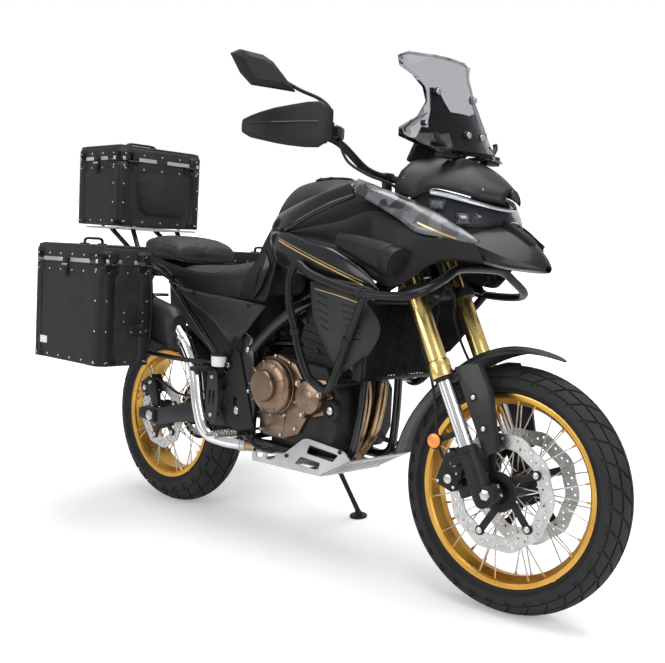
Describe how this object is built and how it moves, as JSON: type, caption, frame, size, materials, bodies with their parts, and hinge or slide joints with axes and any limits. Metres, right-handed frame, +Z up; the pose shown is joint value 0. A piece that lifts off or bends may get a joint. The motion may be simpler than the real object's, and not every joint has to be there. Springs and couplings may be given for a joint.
{
  "type": "adventure motorcycle",
  "caption": "Two-cylinder adventure motorcycle with spoked wheels, tall windscreen, crash bars and hard luggage cases, leaning on its side stand.",
  "frame": {"origin": "middle of the parked machine's outline, on the ground", "axes": "+X forward along the machine, +Y to the rider's left (the side it leans to), +Z up"},
  "size_m": [2.2191, 1.0938, 1.508],
  "materials": {
    "frame": "satin",
    "engine": "satin",
    "engine_covers": "satin",
    "fuel_tank": "gloss",
    "side_fairings": "gloss",
    "radiator_shrouds": "satin",
    "beak": "gloss",
    "nose_cowl": "matt",
    "headlight": "clear lens",
    "fog_lamps": "gloss",
    "windscreen": "smoked",
    "dashboard": "matt",
    "radiator": "matt",
    "skid_plate": "brushed",
    "crash_bars": "gloss",
    "exhaust_pipes": "heat tinted",
    "muffler": "matt",
    "swingarm": "satin",
    "rear_caliper": "satin",
    "chain": "oiled",
    "rear_shock": "satin",
    "rider_seat": "textured",
    "passenger_seat": "textured",
    "side_panels": "satin",
    "tail": "matt",
    "luggage_rack": "satin",
    "top_case": "textured black",
    "left_case": "textured black",
    "right_case": "textured black",
    "foot_controls": "satin",
    "fork_tubes": "gold anodised",
    "fork_lowers": "chrome",
    "fork_clamps": "satin",
    "handlebar": "satin",
    "hand_guards": "satin",
    "mirrors": "satin",
    "front_mudguard": "satin",
    "front_calipers": "satin",
    "front_tyre": "matt",
    "front_rim": "gold anodised",
    "front_discs": "ground",
    "rear_tyre": "matt",
    "rear_rim": "gold anodised",
    "rear_disc": "ground",
    "side_stand": "satin",
    "top_case_lid": "textured black",
    "left_case_lid": "textured black",
    "right_case_lid": "textured black"
  },
  "bodies": {
    "chassis": {"frame": "frame", "engine": "engine", "engine_covers": "engine_covers", "fuel_tank": "fuel_tank", "side_fairings": "side_fairings", "radiator_shrouds": "radiator_shrouds", "beak": "beak", "nose_cowl": "nose_cowl", "headlight": "headlight", "fog_lamps": "fog_lamps", "windscreen": "windscreen", "dashboard": "dashboard", "radiator": "radiator", "skid_plate": "skid_plate", "crash_bars": "crash_bars", "exhaust_pipes": "exhaust_pipes", "muffler": "muffler", "swingarm": "swingarm", "rear_caliper": "rear_caliper", "chain": "chain", "rear_shock": "rear_shock", "rider_seat": "rider_seat", "passenger_seat": "passenger_seat", "side_panels": "side_panels", "tail": "tail", "luggage_rack": "luggage_rack", "top_case": "top_case", "left_case": "left_case", "right_case": "right_case", "foot_controls": "foot_controls"},
    "steering": {"fork_tubes": "fork_tubes", "fork_lowers": "fork_lowers", "fork_clamps": "fork_clamps", "handlebar": "handlebar", "hand_guards": "hand_guards", "mirrors": "mirrors", "front_mudguard": "front_mudguard", "front_calipers": "front_calipers"},
    "front_wheel": {"front_tyre": "front_tyre", "front_rim": "front_rim", "front_discs": "front_discs"},
    "rear_wheel": {"rear_tyre": "rear_tyre", "rear_rim": "rear_rim", "rear_disc": "rear_disc"},
    "side_stand": {"side_stand": "side_stand"},
    "top_lid": {"top_case_lid": "top_case_lid"},
    "left_lid": {"left_case_lid": "left_case_lid"},
    "right_lid": {"right_case_lid": "right_case_lid"}
  },
  "joints": [
    {"name": "steering_head", "type": "hinge", "parent": "chassis", "child": "steering", "pos_m": [0.40777, -0.01989, 0.91362], "axis": [-0.4611, 0.1234, 0.8787], "range_deg": [-39.5, 30.5]},
    {"name": "front_axle", "type": "hinge", "parent": "steering", "child": "front_wheel", "pos_m": [0.78187, -0.09809, 0.3243], "axis": [-0.0697, 0.9822, -0.1746], "continuous": true},
    {"name": "rear_axle", "type": "hinge", "parent": "chassis", "child": "rear_wheel", "pos_m": [-0.66298, -0.10362, 0.31861], "axis": [-0.0001, 0.9903, -0.1392], "continuous": true},
    {"name": "stand_pivot", "type": "hinge", "parent": "chassis", "child": "side_stand", "pos_m": [-0.06301, 0.05078, 0.2672], "axis": [0.1202, 0.9425, 0.3118], "range_deg": [0, 100]},
    {"name": "top_lid_hinge", "type": "hinge", "parent": "chassis", "child": "top_lid", "pos_m": [-0.82834, 0.0221, 1.21333], "axis": [-0.0001, 0.9903, -0.1392], "range_deg": [0, 95]},
    {"name": "left_lid_hinge", "type": "hinge", "parent": "chassis", "child": "left_lid", "pos_m": [-0.46664, 0.34394, 0.79421], "axis": [-0.0001, 0.9903, -0.1392], "range_deg": [0, 95]},
    {"name": "right_lid_hinge", "type": "hinge", "parent": "chassis", "child": "right_lid", "pos_m": [-0.46657, -0.40272, 0.89914], "axis": [-0.0001, 0.9903, -0.1392], "range_deg": [0, 95]}
  ]
}
